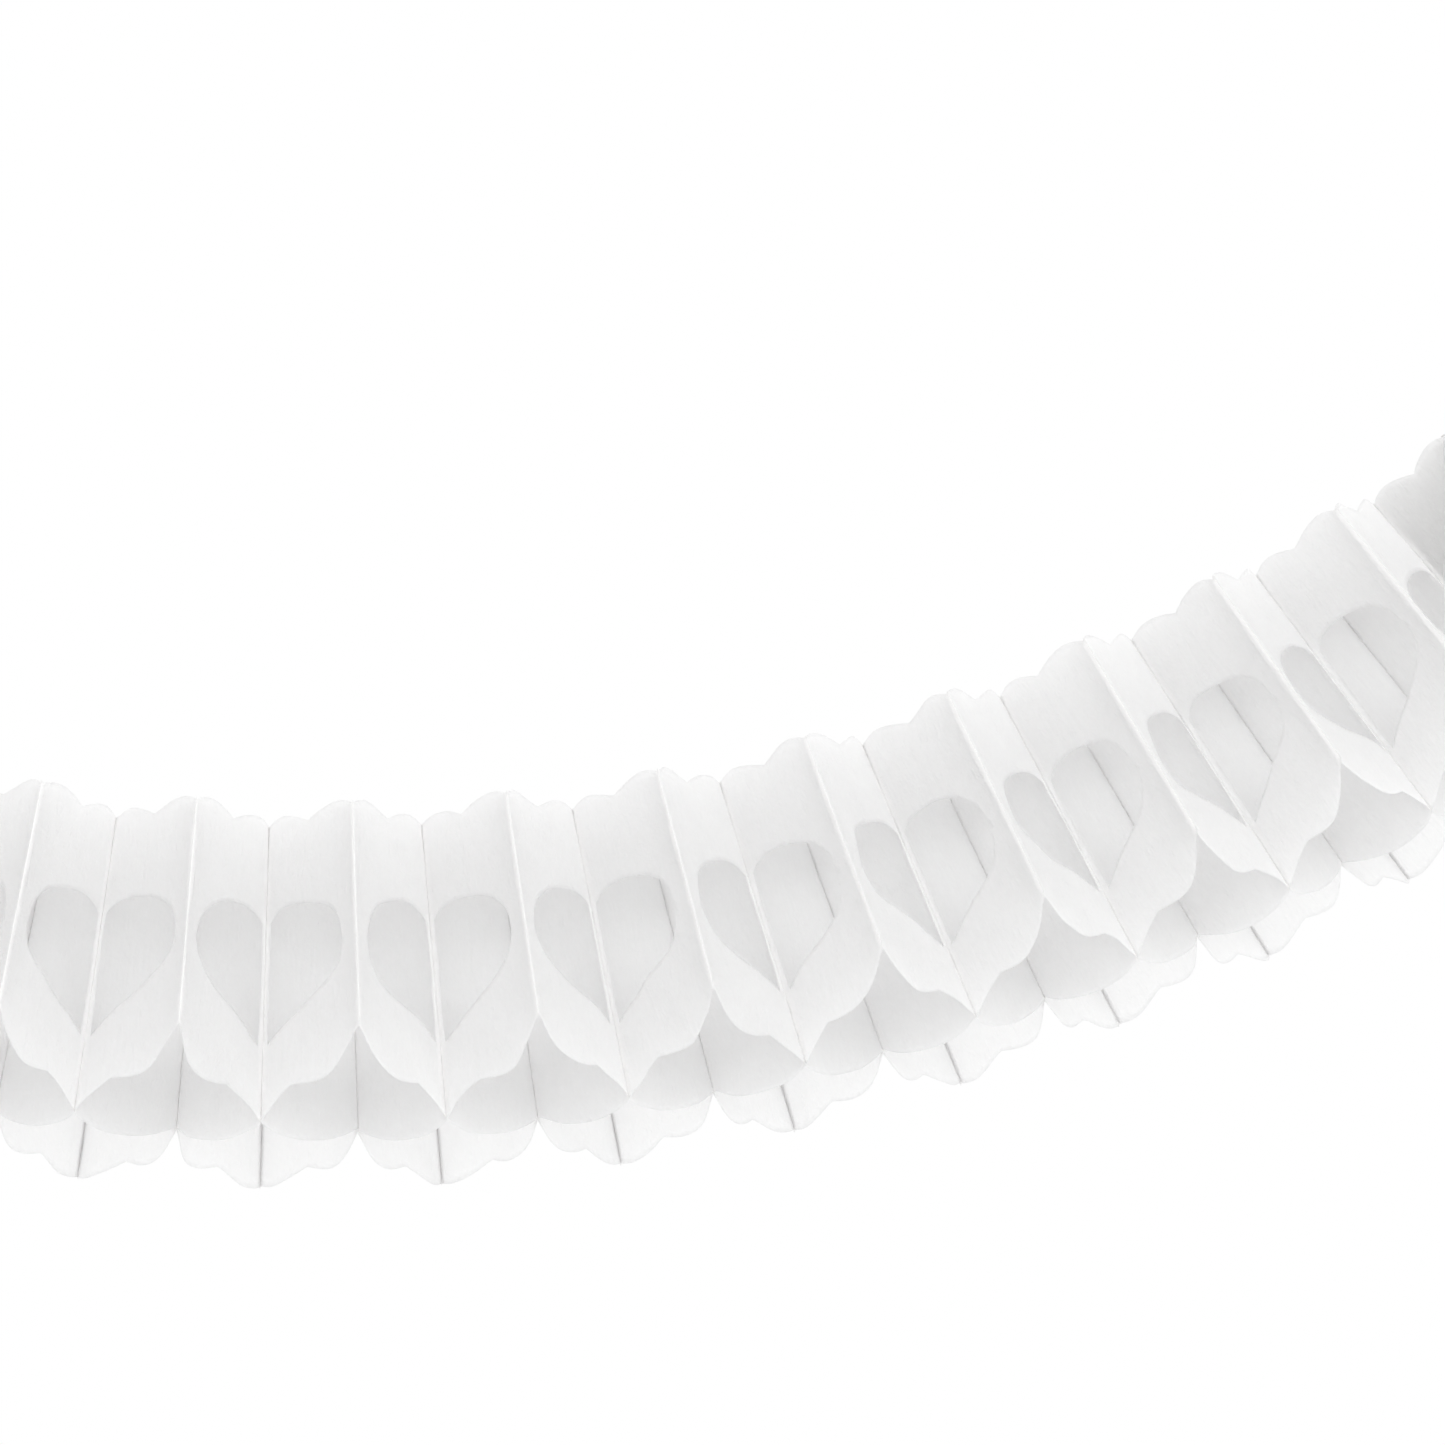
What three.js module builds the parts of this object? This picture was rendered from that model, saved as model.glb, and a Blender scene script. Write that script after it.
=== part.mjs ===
// Honeycomb paper garland, hung in a festoon. Millimetres, +Z up, front towards -Y.
//
// The garland is a stack of die-cut tissue sheets. Each sheet lies across the garland and has four
// full-height glue lines, numbered 0 to 3 from front to rear. A sheet is glued to one neighbour
// along lines 0 and 2 and to the other along lines 1 and 3, so that the stack opens into cells.
// Half a heart is cut out beside lines 1 and 2. Two neighbours' halves make one whole heart.
// A card closes each end and has a punched hole to hang the garland by.

import * as THREE from "three";

// Driving sizes of the festoon
const cellPitch = 78;
const leftCellCount = 2;
const rightCellCount = 9;
const sagRadius = 860;
const lowPointShift = -30;
const heartPlaneShare = 0.465;

// Driving sizes of one tissue sheet, as it stands in the open garland
const paperThickness = 0.8;
const glueGap = 0.3;
const glueStripWidth = 3;
const lineSpacing = 36;
const sheetTop = 74;
const sheetBottom = -73;
const outerTopDrop = 2;
const frontBottomRise = 35;
const innerBottomRise = 10;
const rearBottomDrop = 5;
const lobeHeight = 4;
const cornerLobeHeight = 5;
const lobeSplitShare = 0.52;
const splitRise = 2;
const frontLobeDrop = 8.5;
const frontSplitShare = 0.62;
const frontSplitRise = 13;
const tipLobeDrop = 0.5;
const innerLobeDrop = 7;
const rearLobeDrop = 8;
const rearSplitDrop = 1;

// The half heart cut beside a glue line
const heartTop = 31;
const heartCleft = 24;
const heartWidest = 6;
const heartTip = -37;
const heartEdgeMargin = 2.4;
const heartReachShare = 0.73;
const tipPullShare = 0.45;
const tipLiftShare = 0.62;
const sideLiftShare = 0.3;
const lobeRoundShare = 0.3;
const lobeLiftShare = 1.12;

// The end cards
const cardThickness = 1.2;
const hangHoleRadius = 4;
const hangHoleDrop = 12;

// How finely curves are cut into straight steps
const lobeSteps = 4;
const heartSteps = 6;
const holeSteps = 16;

const leftPlane = -leftCellCount * cellPitch;
const rightPlane = rightCellCount * cellPitch;
const sheetCount = 2 * (leftCellCount + rightCellCount);
const lineCount = 4;
const lines = Array.from({ length: lineCount }, (_, line) => (line - (lineCount - 1) / 2) * lineSpacing);
const halfStrip = glueStripWidth / 2;

const tissue = new THREE.MeshStandardMaterial({ color: 0xf6f5f5, roughness: 0.9, metalness: 0 });
const card = new THREE.MeshStandardMaterial({ color: 0xf2f1ef, roughness: 0.8, metalness: 0 });

// A catenary with its lowest point at along = 0, measured along its own length.
// across is the depth and up is the height above the centre line, square to it.
function onFestoon(along, across, up) {
  const length = along + lowPointShift;
  const slope = Math.atan(length / sagRadius);
  const x = sagRadius * Math.asinh(length / sagRadius);
  const z = Math.hypot(sagRadius, length) - sagRadius;
  return new THREE.Vector3(x - up * Math.sin(slope), across, z + up * Math.cos(slope));
}

// One scallop between two cusps, bulging outwards by height. Points are (depth, up).
function scallop(from, to, height) {
  const points = [];
  for (let step = 0; step <= lobeSteps; step++) {
    const share = step / lobeSteps;
    const bulge = height * Math.sin(Math.PI * share);
    points.push(new THREE.Vector2(
      from.x + (to.x - from.x) * share,
      from.y + (to.y - from.y) * share + bulge,
    ));
  }
  return points;
}

// The cusps of the upper and lower edge between two neighbouring glue lines, and the heights of
// the lobes between them.
function edgeCusps(panel) {
  const front = lines[panel] + halfStrip;
  const rear = lines[panel + 1] - halfStrip;
  const outer = panel !== 1;
  const topAt = [sheetTop - outerTopDrop, sheetTop, sheetTop, sheetTop - outerTopDrop];
  const bottomAt = [
    sheetBottom + frontBottomRise,
    sheetBottom,
    sheetBottom + innerBottomRise,
    sheetBottom - rearBottomDrop,
  ];
  const topSplit = topAt[panel] + (topAt[panel + 1] - topAt[panel]) * lobeSplitShare - splitRise;
  const depthAt = (share) => front + (rear - front) * share;
  const bottomSplitShare = panel === 0 ? frontSplitShare : lobeSplitShare;
  const bottomSplit = sheetBottom + (panel === 0 ? frontSplitRise : -rearSplitDrop);
  const top = [new THREE.Vector2(front, topAt[panel])];
  const bottom = [new THREE.Vector2(front, bottomAt[panel])];
  if (outer) {
    top.push(new THREE.Vector2(depthAt(lobeSplitShare), topSplit));
    bottom.push(new THREE.Vector2(depthAt(bottomSplitShare), bottomSplit));
  }
  top.push(new THREE.Vector2(rear, topAt[panel + 1]));
  bottom.push(new THREE.Vector2(rear, bottomAt[panel + 1]));
  const topLobes = [cornerLobeHeight, lobeHeight];
  const bottomLobes = [[frontLobeDrop, tipLobeDrop], [innerLobeDrop], [rearLobeDrop, lobeHeight]][panel];
  return { top, bottom, topLobes, bottomLobes };
}

// A scalloped edge through its cusps. direction is 1 for the upper edge and -1 for the lower one.
function scallopedEdge(cusps, lobes, direction) {
  const points = [cusps[0].clone()];
  for (let lobe = 0; lobe + 1 < cusps.length; lobe++) {
    points.push(...scallop(cusps[lobe], cusps[lobe + 1], direction * lobes[lobe]).slice(1));
  }
  return points;
}

// The half heart beside glue line 1 on the front panel, or beside line 2 on the rear panel.
function halfHeart(panel) {
  const towardsEdge = panel === 0 ? -1 : 1;
  const line = panel === 0 ? lines[1] : lines[2];
  const seat = line + towardsEdge * (halfStrip + heartEdgeMargin);
  const reach = towardsEdge * (lineSpacing - glueStripWidth) * heartReachShare;
  const outline = new THREE.Shape();
  outline.moveTo(seat, heartTip);
  outline.bezierCurveTo(
    seat + reach * tipPullShare, heartTip * tipLiftShare,
    seat + reach, heartTip * sideLiftShare,
    seat + reach, heartWidest,
  );
  outline.bezierCurveTo(
    seat + reach, heartTop,
    seat + reach * lobeRoundShare, heartTop * lobeLiftShare,
    seat, heartCleft,
  );
  return outline.getPoints(heartSteps);
}

// Flat pieces of a sheet, front to rear: a glue strip, a panel, a strip, and so on.
function flatPieces() {
  const pieces = [];
  for (let line = 0; line < lineCount; line++) {
    const before = line > 0 ? edgeCusps(line - 1) : edgeCusps(line);
    const topUp = line > 0 ? before.top.at(-1).y : before.top[0].y;
    const bottomUp = line > 0 ? before.bottom.at(-1).y : before.bottom[0].y;
    const front = lines[line] - halfStrip;
    const rear = lines[line] + halfStrip;
    pieces.push({
      contour: [
        new THREE.Vector2(front, bottomUp),
        new THREE.Vector2(rear, bottomUp),
        new THREE.Vector2(rear, topUp),
        new THREE.Vector2(front, topUp),
      ],
      holes: [],
    });
    if (line + 1 === lineCount) continue;
    const { top, bottom, topLobes, bottomLobes } = edgeCusps(line);
    const upper = scallopedEdge(top, topLobes, 1).reverse();
    const lower = scallopedEdge(bottom, bottomLobes, -1);
    pieces.push({
      contour: [...lower, ...upper],
      holes: line === 1 ? [] : [halfHeart(line)],
    });
  }
  return pieces;
}

// Triangles over all the flat pieces, with the points on the folds shared.
function flatTriangles(pieces) {
  const points = [];
  const triangles = [];
  const known = new Map();
  const pointAt = (point) => {
    const key = `${point.x.toFixed(4)} ${point.y.toFixed(4)}`;
    if (!known.has(key)) {
      known.set(key, points.length);
      points.push(point);
    }
    return known.get(key);
  };
  for (const { contour, holes } of pieces) {
    const corners = [...contour, ...holes.flat()].map(pointAt);
    for (const triangle of THREE.ShapeUtils.triangulateShape(contour, holes)) {
      triangles.push(triangle.map((corner) => corners[corner]));
    }
  }
  return { points, triangles };
}

// A closed solid from a flat pattern: both faces, and a wall along every free edge.
// place(point, side) gives the point's place on face side 1 or -1.
function thickened({ points, triangles }, place) {
  const vertices = [1, -1].flatMap((side) => points.map((point) => place(point, side)));
  const indices = [];
  const edges = new Map();
  for (const [a, b, c] of triangles) {
    indices.push(a, b, c, a + points.length, c + points.length, b + points.length);
    for (const [from, to] of [[a, b], [b, c], [c, a]]) {
      const back = `${to} ${from}`;
      if (edges.has(back)) edges.delete(back);
      else edges.set(`${from} ${to}`, [from, to]);
    }
  }
  for (const [from, to] of edges.values()) {
    indices.push(from, from + points.length, to);
    indices.push(to, from + points.length, to + points.length);
  }
  const geometry = new THREE.BufferGeometry();
  geometry.setAttribute("position", new THREE.Float32BufferAttribute(
    vertices.flatMap((vertex) => vertex.toArray()),
    3,
  ));
  geometry.setIndex(facesOutwards(vertices, indices) ? indices : indices.reverse());
  geometry.computeVertexNormals();
  return geometry;
}

function facesOutwards(vertices, indices) {
  let volume = 0;
  for (let i = 0; i < indices.length; i += 3) {
    const [a, b, c] = [vertices[indices[i]], vertices[indices[i + 1]], vertices[indices[i + 2]]];
    volume += a.dot(b.clone().cross(c));
  }
  return volume > 0;
}

// Where a sheet's first plane lies. Even sheets start at a seam, odd ones at a cell's hearts.
function planeOf(sheet) {
  return leftPlane + (Math.floor(sheet / 2) + (sheet % 2) * heartPlaneShare) * cellPitch;
}

// The zigzag of a sheet seen from above, offset to one face. Points are (along, depth).
function zigzag(sheet, side) {
  const standOff = (glueGap + paperThickness) / 2;
  const planeGap = planeOf(sheet + 1) - planeOf(sheet);
  const middle = lines.flatMap((depth, line) => {
    const along = (line + sheet) % 2 === 0 ? standOff : planeGap - standOff;
    return [new THREE.Vector2(along, depth - halfStrip), new THREE.Vector2(along, depth + halfStrip)];
  });
  return middle.map((point, corner) => {
    const into = corner > 0 ? point.clone().sub(middle[corner - 1]).normalize() : null;
    const onward = corner + 1 < middle.length ? middle[corner + 1].clone().sub(point).normalize() : null;
    const heading = (into ?? onward).clone().add(onward ?? into).normalize();
    const mitre = heading.dot(into ?? onward);
    const offset = side * paperThickness / 2 / mitre;
    return new THREE.Vector2(point.x + heading.y * offset, point.y - heading.x * offset);
  });
}

// Where a point of the flat pattern lies on one face of the folded sheet.
function foldedPlace(sheet) {
  const folds = lines.flatMap((depth) => [depth - halfStrip, depth + halfStrip]);
  const faces = { 1: zigzag(sheet, 1), [-1]: zigzag(sheet, -1) };
  return (point, side) => {
    let segment = folds.findLastIndex((fold) => fold <= point.x);
    segment = Math.min(Math.max(segment, 0), folds.length - 2);
    const share = (point.x - folds[segment]) / (folds[segment + 1] - folds[segment]);
    const spot = faces[side][segment].clone().lerp(faces[side][segment + 1], share);
    return onFestoon(planeOf(sheet) + spot.x, spot.y, point.y);
  };
}

function tissueSheet(sheet) {
  const name = `tissue_sheet_${String(sheet + 1).padStart(2, "0")}`;
  const geometry = thickened(flatTriangles(flatPieces()), foldedPlace(sheet));
  const mesh = new THREE.Mesh(geometry, tissue);
  mesh.name = name;
  return mesh;
}

// The outline of a whole sheet as one contour, which an end card repeats.
function cardOutline() {
  const lower = [];
  const upper = [];
  for (let panel = 0; panel + 1 < lineCount; panel++) {
    const { top, bottom, topLobes, bottomLobes } = edgeCusps(panel);
    lower.push(...scallopedEdge(bottom, bottomLobes, -1));
    upper.push(...scallopedEdge(top, topLobes, 1));
  }
  const frontEdge = lines[0] - halfStrip;
  const rearEdge = lines.at(-1) + halfStrip;
  lower.unshift(new THREE.Vector2(frontEdge, lower[0].y));
  upper.unshift(new THREE.Vector2(frontEdge, upper[0].y));
  lower.push(new THREE.Vector2(rearEdge, lower.at(-1).y));
  upper.push(new THREE.Vector2(rearEdge, upper.at(-1).y));
  return [...lower, ...upper.reverse()];
}

// The middle of a card's inner face, with the ways along the festoon and up the card there.
// direction is -1 for the card that closes the left end and 1 for the right one.
function cardSeat(plane, direction) {
  const slope = Math.atan((plane + lowPointShift) / sagRadius);
  const along = new THREE.Vector3(Math.cos(slope), 0, Math.sin(slope));
  const up = new THREE.Vector3(-Math.sin(slope), 0, Math.cos(slope));
  const foot = onFestoon(plane, 0, 0).addScaledVector(along, direction * glueGap / 2);
  return { foot, along, up };
}

function endCard(name, plane, direction) {
  const hole = new THREE.Path();
  hole.absarc(0, sheetTop - hangHoleDrop, hangHoleRadius, 0, 2 * Math.PI);
  const pattern = flatTriangles([
    { contour: cardOutline(), holes: [hole.getPoints(holeSteps).slice(0, -1)] },
  ]);
  const { foot, along, up } = cardSeat(plane, direction);
  const geometry = thickened(pattern, (point, side) => {
    const depthOut = side > 0 ? 0 : direction * cardThickness;
    return foot.clone()
      .addScaledVector(along, depthOut)
      .addScaledVector(up, point.y)
      .add(new THREE.Vector3(0, point.x, 0));
  });
  const mesh = new THREE.Mesh(geometry, card);
  mesh.name = name;
  return mesh;
}

const garland = new THREE.Group();
garland.add(endCard("left_end_card", leftPlane, -1));
for (let sheet = 0; sheet < sheetCount; sheet++) {
  garland.add(tissueSheet(sheet));
}
garland.add(endCard("right_end_card", rightPlane, 1));

// The origin is the middle of the left card's outer face.
const leftSeat = cardSeat(leftPlane, -1);
garland.position.copy(leftSeat.foot).addScaledVector(leftSeat.along, -cardThickness).negate();
garland.updateMatrixWorld(true);

export default garland;
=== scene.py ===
"""White honeycomb tissue garland with a row of hearts, hung in a festoon. Lengths are in metres."""
import math

import bpy
import numpy as np
from mathutils import Matrix, Vector


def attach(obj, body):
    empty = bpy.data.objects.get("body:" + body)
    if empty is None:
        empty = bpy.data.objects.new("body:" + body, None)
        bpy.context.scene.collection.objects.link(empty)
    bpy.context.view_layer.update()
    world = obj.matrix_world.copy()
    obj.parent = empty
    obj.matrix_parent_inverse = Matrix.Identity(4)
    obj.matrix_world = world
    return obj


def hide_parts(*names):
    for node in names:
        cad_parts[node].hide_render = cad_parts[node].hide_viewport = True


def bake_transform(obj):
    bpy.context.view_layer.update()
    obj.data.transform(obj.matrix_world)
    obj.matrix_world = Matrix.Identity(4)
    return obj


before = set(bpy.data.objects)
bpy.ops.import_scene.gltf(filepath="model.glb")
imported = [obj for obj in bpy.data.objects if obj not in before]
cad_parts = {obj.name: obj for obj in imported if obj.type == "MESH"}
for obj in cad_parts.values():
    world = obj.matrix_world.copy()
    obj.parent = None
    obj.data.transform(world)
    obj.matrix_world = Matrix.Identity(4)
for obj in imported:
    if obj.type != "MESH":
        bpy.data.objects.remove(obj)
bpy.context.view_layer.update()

# Sizes of the festoon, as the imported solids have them
CELL_PITCH = 0.078
CELLS_LEFT = 2
SAG_RADIUS = 0.86
LOW_POINT_SHIFT = -0.03
HEART_PLANE_SHARE = 0.465
CARD_THICKNESS = 0.0012
GLUE_GAP = 0.0003

# Sizes of one sheet, as it stands in the open garland
LINE_SPACING = 0.036
LINES = (np.arange(4) - 1.5) * LINE_SPACING
STRIP_WIDTH = 0.003
SHEET_TOP = 0.074
SHEET_BOTTOM = -0.073
OUTER_TOP_DROP = 0.002
FRONT_BOTTOM_RISE = 0.035
INNER_BOTTOM_RISE = 0.010
REAR_BOTTOM_DROP = 0.005
LOBE_HEIGHT = 0.004
CORNER_LOBE_HEIGHT = 0.005
SPLIT_RISE = 0.002
LOBE_SPLIT_SHARE = 0.52
FRONT_LOBE_DROP = 0.0085
FRONT_SPLIT_SHARE = 0.62
FRONT_SPLIT_RISE = 0.013
TIP_LOBE_DROP = 0.0005
INNER_LOBE_DROP = 0.007
REAR_LOBE_DROP = 0.008
REAR_SPLIT_DROP = 0.001

# The half heart beside a glue line
HEART_TOP = 0.031
HEART_CLEFT = 0.024
HEART_WIDEST = 0.006
HEART_TIP = -0.037
HEART_MARGIN = 0.0024
HEART_REACH_SHARE = 0.73
HEART_SLIT = 0.0005
TIP_PULL_SHARE = 0.45
TIP_LIFT_SHARE = 0.62
SIDE_LIFT_SHARE = 0.3
LOBE_ROUND_SHARE = 0.3
LOBE_LIFT_SHARE = 1.12

# The paper itself, and how it stands away from a straight fold
PAPER_THICKNESS = 0.00012
STAND_OFF = 0.00007
PANEL_BOW_SHARE = 0.3
RIPPLE_HEIGHT = 0.0012
CURL_HEIGHT = 0.0022
CURL_REACH = 0.007
RIPPLE_WAVES = 4
SHORTEST_RIPPLE = 0.035
LONGEST_RIPPLE = 0.11
RIPPLE_LEAN = 14
EDGE_WANDER = 0.0006
FIRST_SEED = 400
GLUED_BELOW_SHARE = 0.02

# Rows of the grid, below, beside and above the heart, and its columns
ROWS_BELOW = 18
ROWS_BESIDE = 8
ROWS_ABOVE = 16
STRIP_COLUMNS = 4
SIDE_COLUMNS = 5
PANEL_COLUMNS = 30

# Finishes
TISSUE_COLOUR = (0.985, 0.981, 0.98)
TISSUE_SHADE = (0.955, 0.949, 0.95)
GLUED_COLOUR = (0.985, 0.98, 0.976)
CARD_COLOUR = (0.85, 0.842, 0.83)
CARD_SHADE = (0.81, 0.802, 0.79)
FLOOR_COLOUR = (0.9, 0.9, 0.9)
PAPER_GLOSS = 0.2
GLOW_DEPTH = 0.002
CLOUD_SCALE = 60
CLOUD_DETAIL = 6
SHADE_UNTIL_SHARE = 0.3
COLOUR_FROM_SHARE = 0.62
FIBRE_DETAIL = 8
CRINKLE_STRETCH = (55, 5, 1)
CRINKLE_DETAIL = 4
CRINKLE_SHARE = 1.8
RELIEF_HEIGHT = 0.0008

# Light, floor and camera
ROOM_LIGHT = 1.06
LAMP_WAY = (-0.7, 0.65, -0.35)
LAMP_STRENGTH = 0.33
LAMP_SPREAD_DEGREES = 30
FLOOR_HALF = 14
FLOOR_LEVEL = -3.4
CAMERA_TURN_DEGREES = 4.8
CAMERA_RISE_DEGREES = 25.6
CAMERA_ROLL_DEGREES = -0.29
CAMERA_DISTANCE = 2.5
CAMERA_LOOKS_ALONG = 0.2205
CAMERA_LOOKS_UP = 0.1454
CAMERA_LENS_MM = 129.7

HALF_STRIP = STRIP_WIDTH / 2
LEFT_PLANE = -CELLS_LEFT * CELL_PITCH
TWO_LOBES = (CORNER_LOBE_HEIGHT, LOBE_HEIGHT)


def on_festoon(along, up):
    """x and z of a point: a catenary by its own length, plus up square to it."""
    length = along + LOW_POINT_SHIFT
    slope = np.arctan(length / SAG_RADIUS)
    x = SAG_RADIUS * np.arcsinh(length / SAG_RADIUS) - up * np.sin(slope)
    z = np.hypot(SAG_RADIUS, length) - SAG_RADIUS + up * np.cos(slope)
    return x, z


def frame_origin():
    """The middle of the left card's outer face, in the festoon's own place."""
    slope = math.atan((LEFT_PLANE + LOW_POINT_SHIFT) / SAG_RADIUS)
    x, z = on_festoon(LEFT_PLANE, 0)
    step = GLUE_GAP / 2 + CARD_THICKNESS
    return x - step * math.cos(slope), z - step * math.sin(slope)


ORIGIN_X, ORIGIN_Z = frame_origin()


def bezier(points, count=200):
    """Points of a cubic curve: each end and handle weighted by the four cubic terms."""
    t = np.linspace(0, 1, count)[:, None]
    terms = np.hstack([(1 - t) ** 3, 3 * t * (1 - t) ** 2, 3 * t * t * (1 - t), t ** 3])
    return terms @ np.array(points)


def heart_levels(reach):
    """Lower and upper edge of the cut at each share of its reach from the glue line."""
    lower = bezier([
        (0, HEART_TIP),
        (TIP_PULL_SHARE, HEART_TIP * TIP_LIFT_SHARE),
        (1, HEART_TIP * SIDE_LIFT_SHARE),
        (1, HEART_WIDEST),
    ])
    upper = bezier([
        (0, HEART_CLEFT),
        (LOBE_ROUND_SHARE, HEART_TOP * LOBE_LIFT_SHARE),
        (1, HEART_TOP),
        (1, HEART_WIDEST),
    ])
    low = np.interp(reach, lower[:, 0], lower[:, 1])
    high = np.interp(reach, upper[:, 0], upper[:, 1])
    return np.minimum(low, HEART_WIDEST - HEART_SLIT), np.maximum(high, HEART_WIDEST + HEART_SLIT)


def scallops(share, cusps, levels, lobes):
    """Straight lines from cusp to cusp, with half a sine added over each."""
    level = np.interp(share, cusps, levels)
    for start, end, lobe in zip(cusps[:-1], cusps[1:], lobes):
        level = level + lobe * np.sin(np.pi * np.clip((share - start) / (end - start), 0, 1))
    return level


def edge_levels(depth):
    """Lower and upper edge of the sheet at each depth: straight between cusps, plus scallops."""
    tops = [SHEET_TOP - OUTER_TOP_DROP, SHEET_TOP, SHEET_TOP, SHEET_TOP - OUTER_TOP_DROP]
    bottoms = [
        SHEET_BOTTOM + FRONT_BOTTOM_RISE,
        SHEET_BOTTOM,
        SHEET_BOTTOM + INNER_BOTTOM_RISE,
        SHEET_BOTTOM - REAR_BOTTOM_DROP,
    ]
    lower_lobes = [(FRONT_LOBE_DROP, TIP_LOBE_DROP), (INNER_LOBE_DROP,), (REAR_LOBE_DROP, LOBE_HEIGHT)]
    lower_splits = [(FRONT_SPLIT_SHARE, FRONT_SPLIT_RISE), None, (LOBE_SPLIT_SHARE, -REAR_SPLIT_DROP)]
    top = np.interp(depth, LINES, tops)
    bottom = np.interp(depth, LINES, bottoms)
    for panel in range(3):
        start = LINES[panel] + HALF_STRIP
        share = (depth - start) / (LINE_SPACING - STRIP_WIDTH)
        inside = (share > 0) & (share < 1)
        ends = tops[panel:panel + 2]
        if panel == 1:
            upper = scallops(share, (0, 1), ends, TWO_LOBES[:1])
        else:
            split_level = ends[0] + (ends[1] - ends[0]) * LOBE_SPLIT_SHARE - SPLIT_RISE
            upper = scallops(share, (0, LOBE_SPLIT_SHARE, 1), (ends[0], split_level, ends[1]), TWO_LOBES)
        ends = bottoms[panel:panel + 2]
        drops = [-lobe for lobe in lower_lobes[panel]]
        if panel == 1:
            lower = scallops(share, (0, 1), ends, drops)
        else:
            split, rise = lower_splits[panel]
            lower = scallops(share, (0, split, 1), (ends[0], SHEET_BOTTOM + rise, ends[1]), drops)
        top = np.where(inside, upper, top)
        bottom = np.where(inside, lower, bottom)
    return bottom, top


def sheet_columns():
    """Depths of the grid's columns, closer together at a heart's round side, and which are cut."""
    seat = HALF_STRIP + HEART_MARGIN
    reach = (LINE_SPACING - STRIP_WIDTH) * HEART_REACH_SHARE
    crowd = 1 - np.sin(np.linspace(0, np.pi / 2, PANEL_COLUMNS))
    strip = np.linspace(-HALF_STRIP, HALF_STRIP, STRIP_COLUMNS)
    front_cut = np.sort(LINES[1] - seat - reach * (1 - crowd))
    front_side = np.linspace(LINES[0] + HALF_STRIP, front_cut[0], SIDE_COLUMNS)[1:-1]
    middle = np.linspace(LINES[1] + HALF_STRIP, LINES[2] - HALF_STRIP, PANEL_COLUMNS)[1:-1]
    front = np.concatenate([LINES[0] + strip, front_side, front_cut, LINES[1] + strip])
    depth = np.concatenate([front, middle, -front[::-1]])
    centre = (depth[1:] + depth[:-1]) / 2
    away = np.where(centre < 0, LINES[1] - seat - centre, centre - LINES[2] - seat)
    cut = (away > 0) & (away < reach)
    out = np.where(depth < 0, LINES[1] - seat - depth, depth - LINES[2] - seat)
    return depth, cut, np.clip(out / reach, 0, 1)


def plane_of(index):
    """Where a sheet's first plane lies: at a seam, or at the line through a cell's hearts."""
    return LEFT_PLANE + (index // 2 + (index % 2) * HEART_PLANE_SHARE) * CELL_PITCH


def fold_wave(depth, stands_left, width):
    """How far across the cell a sheet stands at each depth, and how free of the glue it is there.

    Between two lines the share goes over as t minus a sine, so the paper leaves each line gently.
    """
    sides = (np.arange(4) % 2).astype(float)
    if not stands_left:
        sides = 1 - sides
    along = np.zeros_like(depth)
    free = np.zeros_like(depth)
    for line in range(4):
        near = np.abs(depth - LINES[line]) <= HALF_STRIP + PAPER_THICKNESS / 2
        along[near] = sides[line]
    for panel in range(3):
        share = (depth - LINES[panel] - HALF_STRIP) / (LINE_SPACING - STRIP_WIDTH)
        inside = (share > 0) & (share < 1)
        eased = share - PANEL_BOW_SHARE * np.sin(2 * np.pi * share) / (2 * np.pi)
        across = sides[panel] + (sides[panel + 1] - sides[panel]) * eased
        along = np.where(inside, across, along)
        free = np.where(inside, np.sin(np.pi * share), free)
    return STAND_OFF + along * (width - 2 * STAND_OFF), free


def ripples(rng, depth, up):
    """Slow waves in the paper: a few sines over height and depth, with drawn lengths and phases."""
    total = np.zeros(np.broadcast(depth, up).shape)
    for wave in range(RIPPLE_WAVES):
        length = rng.uniform(SHORTEST_RIPPLE, LONGEST_RIPPLE)
        lean = rng.uniform(-RIPPLE_LEAN, RIPPLE_LEAN)
        phase = rng.uniform(0, 2 * np.pi)
        total = total + np.sin(2 * np.pi * up / length + lean * depth / LINE_SPACING + phase)
    return total * RIPPLE_HEIGHT / 2


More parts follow.
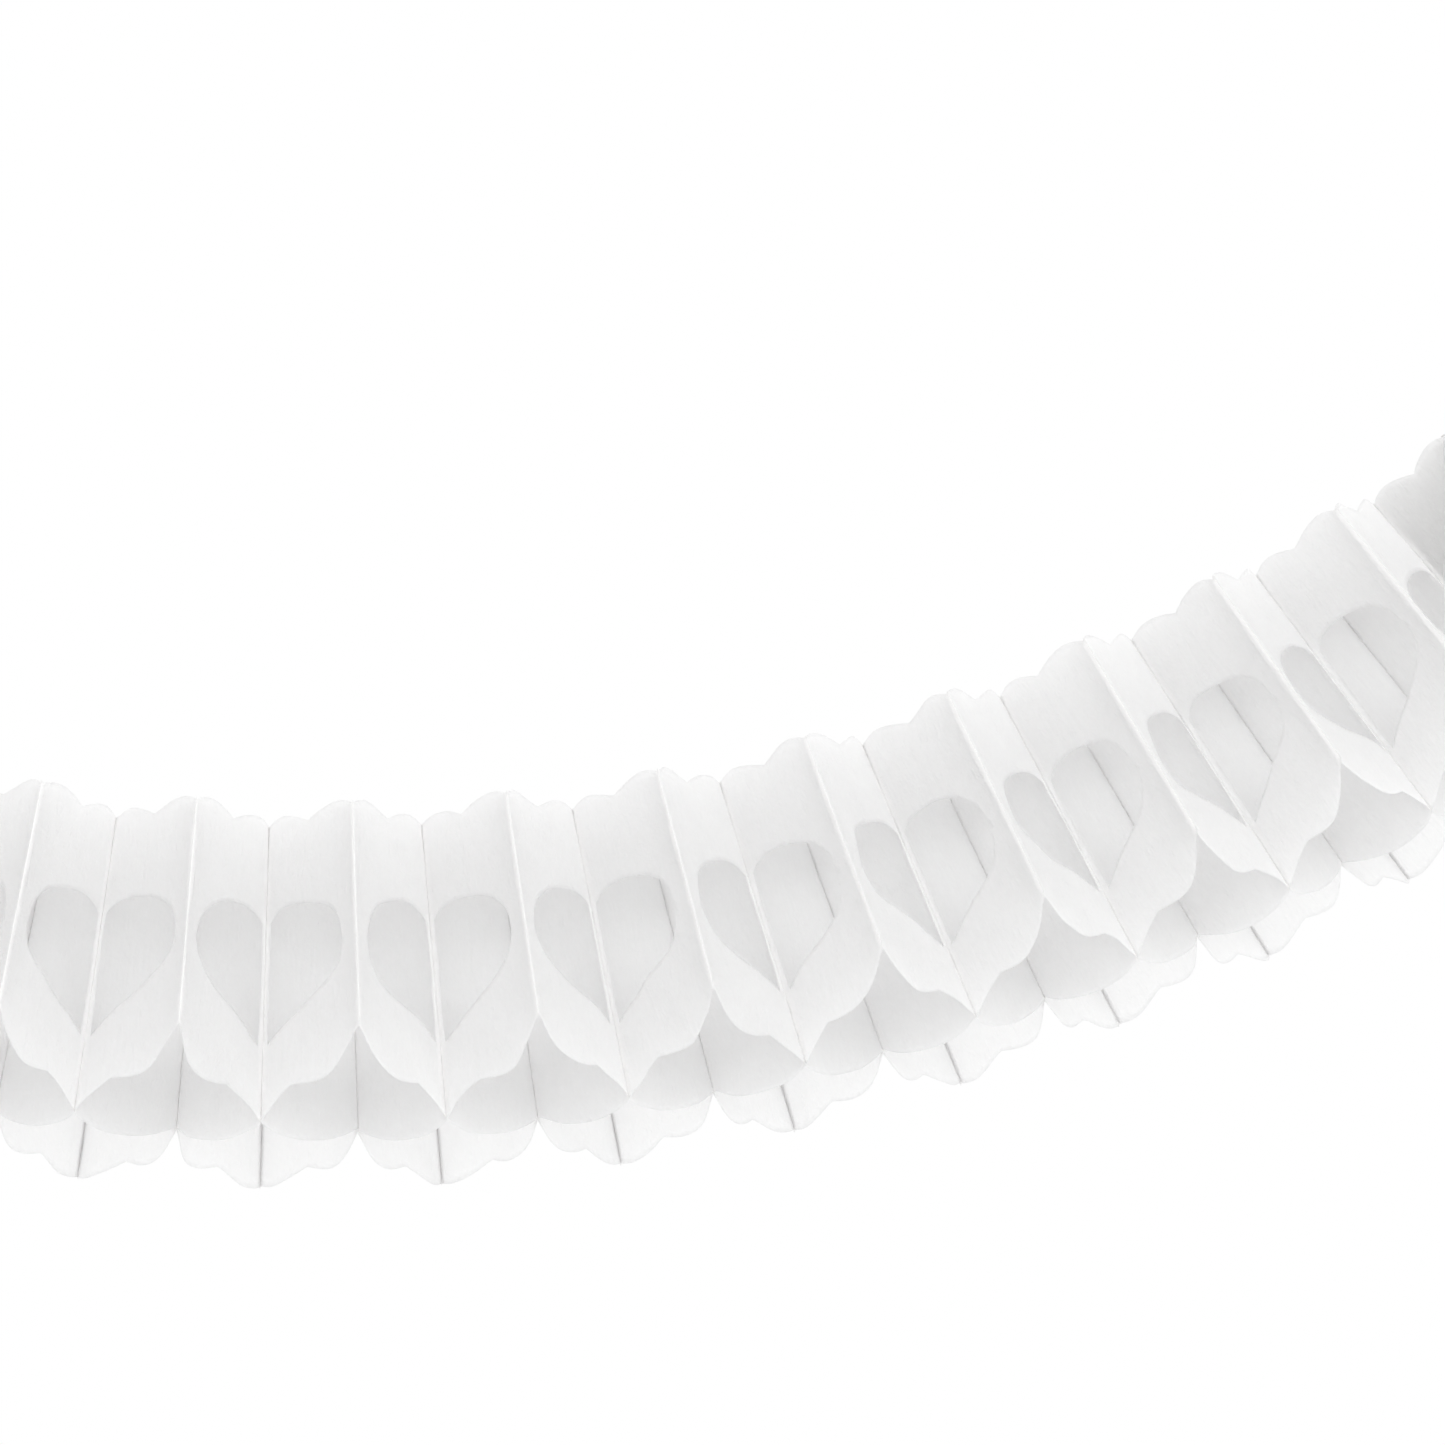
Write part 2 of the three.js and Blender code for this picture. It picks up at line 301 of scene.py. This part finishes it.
def tissue_sheet(name, index):
    """One folded sheet as a grid of depth by height, less the faces inside its two half hearts."""
    rng = np.random.default_rng(FIRST_SEED + index)
    depth, cut, reach = sheet_columns()
    low, high = heart_levels(reach)
    bottom, top = edge_levels(depth)
    bottom = bottom + rng.uniform(-EDGE_WANDER, EDGE_WANDER)
    below = np.linspace(0, 1, ROWS_BELOW + 1)[None, :]
    beside = np.linspace(0, 1, ROWS_BESIDE + 1)[None, 1:]
    above = np.linspace(0, 1, ROWS_ABOVE + 1)[None, 1:]
    up = np.hstack([
        bottom[:, None] + (low - bottom)[:, None] * below,
        low[:, None] + (high - low)[:, None] * beside,
        high[:, None] + (top - high)[:, None] * above,
    ])
    width = plane_of(index + 1) - plane_of(index)
    along, free = fold_wave(depth, index % 2 == 0, width)
    wave = ripples(rng, depth[:, None], up)
    lift = np.exp(-(top[:, None] - up) / CURL_REACH) * rng.uniform(-1, 1)
    droop = np.exp(-(up - bottom[:, None]) / CURL_REACH) * rng.uniform(-1, 1)
    shift = free[:, None] * (wave + CURL_HEIGHT * (lift + droop))
    place = plane_of(index) + along[:, None] + shift
    x, z = on_festoon(place, up)
    y = np.broadcast_to(depth[:, None], x.shape)
    points = np.stack([x - ORIGIN_X, y, z - ORIGIN_Z], axis=-1).reshape(-1, 3)

    columns, rows = up.shape
    corner = np.arange(columns * rows).reshape(columns, rows)
    faces = np.stack([corner[:-1, :-1], corner[1:, :-1], corner[1:, 1:], corner[:-1, 1:]], axis=-1)
    kept = np.ones(faces.shape[:2], dtype=bool)
    kept[np.ix_(cut, range(ROWS_BELOW, ROWS_BELOW + ROWS_BESIDE))] = False
    faces = faces[kept]
    used, faces = np.unique(faces, return_inverse=True)
    faces = faces.reshape(-1, 4)

    flat = np.concatenate([[0], np.cumsum(np.hypot(np.diff(depth), np.diff(along)))])
    paper = np.stack([np.broadcast_to(flat[:, None], up.shape), up], axis=-1).reshape(-1, 2)[used]
    glued = np.broadcast_to((free < GLUED_BELOW_SHARE)[:, None], up.shape).reshape(-1)[used]
    piece = surface(name, points[used], faces)
    add_paper_map(piece, paper, faces)
    attribute = piece.data.attributes.new("glued", "FLOAT", "POINT")
    attribute.data.foreach_set("value", glued.astype(np.float32))
    wall = piece.modifiers.new("paper", "SOLIDIFY")
    wall.thickness = PAPER_THICKNESS
    wall.offset = 0
    return piece


def surface(name, points, faces):
    """A smooth mesh object from its points and four-cornered faces."""
    mesh = bpy.data.meshes.new(name)
    mesh.from_pydata(points.tolist(), [], faces.tolist())
    mesh.shade_smooth()
    mesh.update()
    piece = bpy.data.objects.new(name, mesh)
    bpy.context.scene.collection.objects.link(piece)
    return piece


def add_paper_map(piece, paper, faces):
    """The flat sheet's own place, in tenths of a metre, as the piece's UV map."""
    layer = piece.data.uv_layers.new(name="paper")
    layer.data.foreach_set("uv", (paper[faces.reshape(-1)] * 10).astype(np.float32).reshape(-1))


def paper_material(name, base, shade, roughness, glow, grain, relief, crinkled):
    """Matt paper: cloudy fibre tone, upright crinkle and fine grain, with opaque glued strips."""
    material = bpy.data.materials.new(name)
    material.use_nodes = True
    nodes = material.node_tree.nodes
    links = material.node_tree.links
    finish = nodes["Principled BSDF"]
    finish.inputs["Roughness"].default_value = roughness
    finish.inputs["Specular IOR Level"].default_value = PAPER_GLOSS
    finish.inputs["Subsurface Weight"].default_value = glow
    finish.inputs["Subsurface Radius"].default_value = (1, 1, 1)
    finish.inputs["Subsurface Scale"].default_value = GLOW_DEPTH
    place = nodes.new("ShaderNodeTexCoord")

    clouds = nodes.new("ShaderNodeTexNoise")
    clouds.inputs["Scale"].default_value = CLOUD_SCALE
    clouds.inputs["Detail"].default_value = CLOUD_DETAIL
    links.new(place.outputs["Object"], clouds.inputs["Vector"])
    tone = nodes.new("ShaderNodeValToRGB")
    tone.color_ramp.elements[0].position = SHADE_UNTIL_SHARE
    tone.color_ramp.elements[0].color = (*shade, 1)
    tone.color_ramp.elements[1].position = COLOUR_FROM_SHARE
    tone.color_ramp.elements[1].color = (*base, 1)
    links.new(clouds.outputs["Fac"], tone.inputs["Fac"])
    colour = tone.outputs["Color"]

    fibre = nodes.new("ShaderNodeTexNoise")
    fibre.inputs["Scale"].default_value = grain
    fibre.inputs["Detail"].default_value = FIBRE_DETAIL
    links.new(place.outputs["Object"], fibre.inputs["Vector"])
    height = fibre.outputs["Fac"]

    if crinkled:
        stretch = nodes.new("ShaderNodeMapping")
        stretch.inputs["Scale"].default_value = CRINKLE_STRETCH
        links.new(place.outputs["UV"], stretch.inputs["Vector"])
        crinkle = nodes.new("ShaderNodeTexNoise")
        crinkle.inputs["Scale"].default_value = 1
        crinkle.inputs["Detail"].default_value = CRINKLE_DETAIL
        links.new(stretch.outputs["Vector"], crinkle.inputs["Vector"])
        both = nodes.new("ShaderNodeMath")
        both.operation = "MULTIPLY_ADD"
        both.inputs[1].default_value = CRINKLE_SHARE
        links.new(crinkle.outputs["Fac"], both.inputs[0])
        links.new(height, both.inputs[2])
        height = both.outputs[0]

        glue = nodes.new("ShaderNodeAttribute")
        glue.attribute_name = "glued"
        strip = nodes.new("ShaderNodeMix")
        strip.data_type = "RGBA"
        strip.inputs[7].default_value = (*GLUED_COLOUR, 1)
        links.new(glue.outputs["Fac"], strip.inputs[0])
        links.new(colour, strip.inputs[6])
        colour = strip.outputs[2]

        single = nodes.new("ShaderNodeMath")
        single.operation = "SUBTRACT"
        single.inputs[0].default_value = glow
        single.use_clamp = True
        links.new(glue.outputs["Fac"], single.inputs[1])
        links.new(single.outputs[0], finish.inputs["Subsurface Weight"])

    links.new(colour, finish.inputs["Base Color"])
    bump = nodes.new("ShaderNodeBump")
    bump.inputs["Strength"].default_value = relief
    bump.inputs["Distance"].default_value = RELIEF_HEIGHT
    links.new(height, bump.inputs["Height"])
    links.new(bump.outputs["Normal"], finish.inputs["Normal"])
    return material


def make_sheets(paper):
    """Every sheet. A cell's second sheet bends on to the next cell, where it is glued."""
    names = sorted(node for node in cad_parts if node.startswith("tissue_sheet_"))
    for index, node in enumerate(names):
        piece = tissue_sheet(node.replace("tissue_sheet", "paper_leaf"), index)
        piece.data.materials.append(paper)
        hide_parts(node)
        cell = f"cell_{index // 2 + 1:02d}"
        if index % 2 == 0 or index == len(names) - 1:
            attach(piece, cell)
            continue
        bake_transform(piece)


def finish_cards(card):
    """The two end cards keep their solids and take the card's finish."""
    for node in ("left_end_card", "right_end_card"):
        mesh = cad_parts[node].data
        mesh.materials.clear()
        mesh.materials.append(card)


def make_world():
    """An even white room, as bright to the camera as white paper and a little brighter as light."""
    world = bpy.data.worlds.new("white_room")
    bpy.context.scene.world = world
    world.use_nodes = True
    nodes = world.node_tree.nodes
    links = world.node_tree.links
    light = nodes["Background"]
    light.inputs["Color"].default_value = (1, 1, 1, 1)
    light.inputs["Strength"].default_value = ROOM_LIGHT
    seen = nodes.new("ShaderNodeBackground")
    seen.inputs["Color"].default_value = (1, 1, 1, 1)
    seen.inputs["Strength"].default_value = 1
    rays = nodes.new("ShaderNodeLightPath")
    camera_or_gloss = nodes.new("ShaderNodeMath")
    camera_or_gloss.operation = "MAXIMUM"
    links.new(rays.outputs["Is Camera Ray"], camera_or_gloss.inputs[0])
    links.new(rays.outputs["Is Glossy Ray"], camera_or_gloss.inputs[1])
    any_of_three = nodes.new("ShaderNodeMath")
    any_of_three.operation = "MAXIMUM"
    links.new(camera_or_gloss.outputs[0], any_of_three.inputs[0])
    links.new(rays.outputs["Is Transmission Ray"], any_of_three.inputs[1])
    mix = nodes.new("ShaderNodeMixShader")
    links.new(any_of_three.outputs[0], mix.inputs["Fac"])
    links.new(light.outputs["Background"], mix.inputs[1])
    links.new(seen.outputs["Background"], mix.inputs[2])
    links.new(mix.outputs["Shader"], nodes["World Output"].inputs["Surface"])


def make_lamp(name, towards, strength, spread):
    """A soft lamp far away, shining along the given way."""
    lamp = bpy.data.lights.new(name, "SUN")
    lamp.energy = strength
    lamp.angle = math.radians(spread)
    holder = bpy.data.objects.new(name, lamp)
    holder.rotation_euler = Vector(towards).to_track_quat("-Z", "Y").to_euler()
    bpy.context.scene.collection.objects.link(holder)


def make_floor():
    """A pale floor well below the garland, which hangs free in the air."""
    signs = np.array([(-1, -1), (1, -1), (1, 1), (-1, 1)])
    corners = np.column_stack([signs * FLOOR_HALF, np.full(4, FLOOR_LEVEL)])
    floor = surface("floor", corners, np.array([[0, 1, 2, 3]]))
    pale = bpy.data.materials.new("pale_floor")
    pale.use_nodes = True
    finish = pale.node_tree.nodes["Principled BSDF"]
    finish.inputs["Base Color"].default_value = (*FLOOR_COLOUR, 1)
    finish.inputs["Roughness"].default_value = 0.9
    floor.data.materials.append(pale)


def make_camera():
    """A long lens from below and a little to the left of the garland's middle."""
    turn = math.radians(CAMERA_TURN_DEGREES)
    rise = math.radians(CAMERA_RISE_DEGREES)
    roll = math.radians(CAMERA_ROLL_DEGREES)
    target = Vector((CAMERA_LOOKS_ALONG - ORIGIN_X, 0, CAMERA_LOOKS_UP - ORIGIN_Z))
    ahead = Vector((math.sin(turn) * math.cos(rise), math.cos(turn) * math.cos(rise), math.sin(rise)))
    right = ahead.cross(Vector((0, 0, 1))).normalized()
    over = right.cross(ahead)
    tilted_right = right * math.cos(roll) + over * math.sin(roll)
    tilted_over = over * math.cos(roll) - right * math.sin(roll)
    lens = bpy.data.cameras.new("camera")
    lens.lens = CAMERA_LENS_MM
    lens.sensor_width = 36
    lens.clip_end = 60
    camera = bpy.data.objects.new("camera", lens)
    axes = Matrix((tilted_right, tilted_over, -ahead)).transposed().to_4x4()
    camera.matrix_world = Matrix.Translation(target - ahead * CAMERA_DISTANCE) @ axes
    bpy.context.scene.collection.objects.link(camera)
    bpy.context.scene.camera = camera


def main():
    bpy.context.scene.view_settings.view_transform = "Standard"
    tissue = paper_material(
        "white_tissue", TISSUE_COLOUR, TISSUE_SHADE,
        roughness=0.9, glow=1, grain=700, relief=0.5, crinkled=True,
    )
    card = paper_material(
        "white_card", CARD_COLOUR, CARD_SHADE,
        roughness=0.75, glow=0, grain=350, relief=0.25, crinkled=False,
    )
    make_sheets(tissue)
    finish_cards(card)
    make_world()
    make_lamp("right_lamp", LAMP_WAY, LAMP_STRENGTH, LAMP_SPREAD_DEGREES)
    make_floor()
    make_camera()


main()
